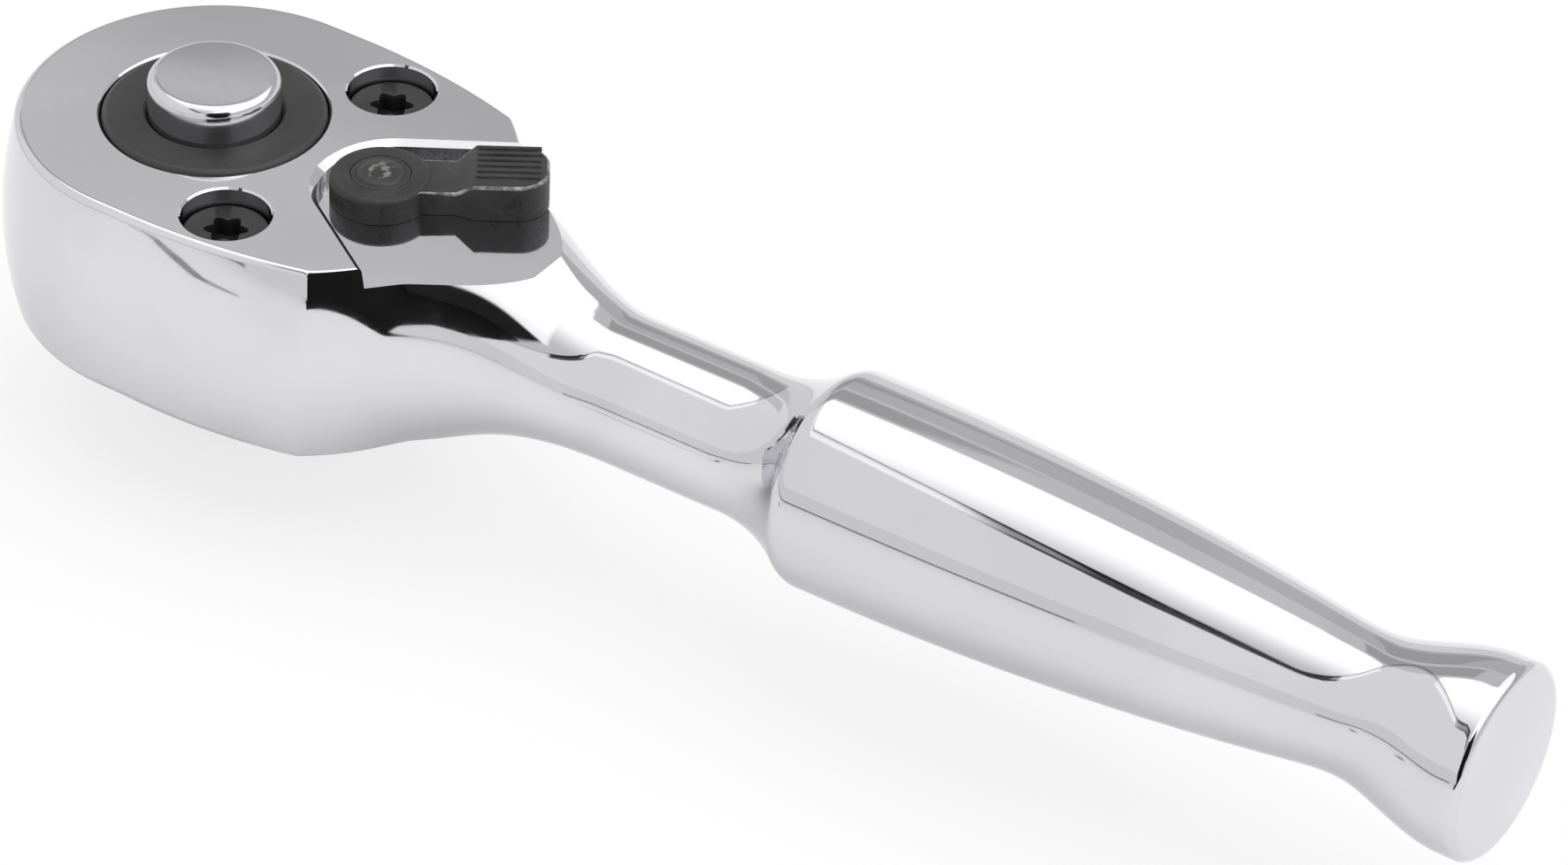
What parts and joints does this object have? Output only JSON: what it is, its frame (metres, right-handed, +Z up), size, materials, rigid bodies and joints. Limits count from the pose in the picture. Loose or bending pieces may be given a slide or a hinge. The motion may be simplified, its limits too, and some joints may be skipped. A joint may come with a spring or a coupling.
{
  "type": "ratchet wrench",
  "caption": "Short chrome ratchet wrench with a round head, square drive, push-button release, reversing thumb lever and a turned handle that swells and flares at the butt.",
  "frame": {"origin": "on the drive axis, in the plane of the seat that the drive square stands on", "axes": "+X along the handle towards its butt, +Z up the drive axis towards the release button"},
  "size_m": [0.1259, 0.0318, 0.0291],
  "materials": {
    "chrome": "polished chrome plate",
    "button_chrome": "polished chrome plate",
    "black_steel": "blackened steel, satin",
    "lever_black": "matte black cast steel",
    "bare_steel": "ground steel",
    "seal_rubber": "black rubber"
  },
  "bodies": {
    "body": {"body": "chrome", "cover_plate": "chrome", "cover_screws": "black_steel"},
    "drive": {"drive_gear": "black_steel", "release_spring": "bare_steel"},
    "button": {"release_button": "button_chrome"},
    "ball": {"detent_ball": "bare_steel"},
    "lever": {"reverse_lever": "lever_black", "selector_spindle": "black_steel", "spindle_seal": "seal_rubber", "plunger_spring": "bare_steel"},
    "pawl": {"pawl": "bare_steel"},
    "plunger": {"pawl_plunger": "bare_steel"}
  },
  "joints": [
    {"name": "drive_spin", "type": "hinge", "parent": "body", "child": "drive", "pos_m": [0, 0, 0], "axis": [0, 0, 1], "continuous": true},
    {"name": "button_press", "type": "slide", "parent": "drive", "child": "button", "axis": [0, 0, 1], "range_m": [-0.0022, 0], "stiffness_N_per_m": 900, "springref_m": 0.002, "deforming": ["release_spring"]},
    {"name": "ball_detent", "type": "slide", "parent": "drive", "child": "ball", "axis": [0, -1, 0], "range_m": [-0.00076, 0]},
    {"name": "lever_throw", "type": "hinge", "parent": "body", "child": "lever", "pos_m": [0.0152, 0, 0], "axis": [0, 0, 1], "range_deg": [-68, 0]},
    {"name": "pawl_rock", "type": "hinge", "parent": "body", "child": "pawl", "pos_m": [0.0152, 0, 0], "axis": [0, 0, 1], "range_deg": [-8.01, 0]},
    {"name": "plunger_slide", "type": "slide", "parent": "lever", "child": "plunger", "axis": [-0.829, -0.5592, 0], "range_m": [-0.0005, 0], "stiffness_N_per_m": 400, "springref_m": 0.0005, "deforming": ["plunger_spring"]}
  ],
  "couplings": [
    {"joint": "ball_detent", "follows": "button_press", "ratio": 0.34091},
    {"joint": "pawl_rock", "follows": "lever_throw", "ratio": 0.11765}
  ]
}
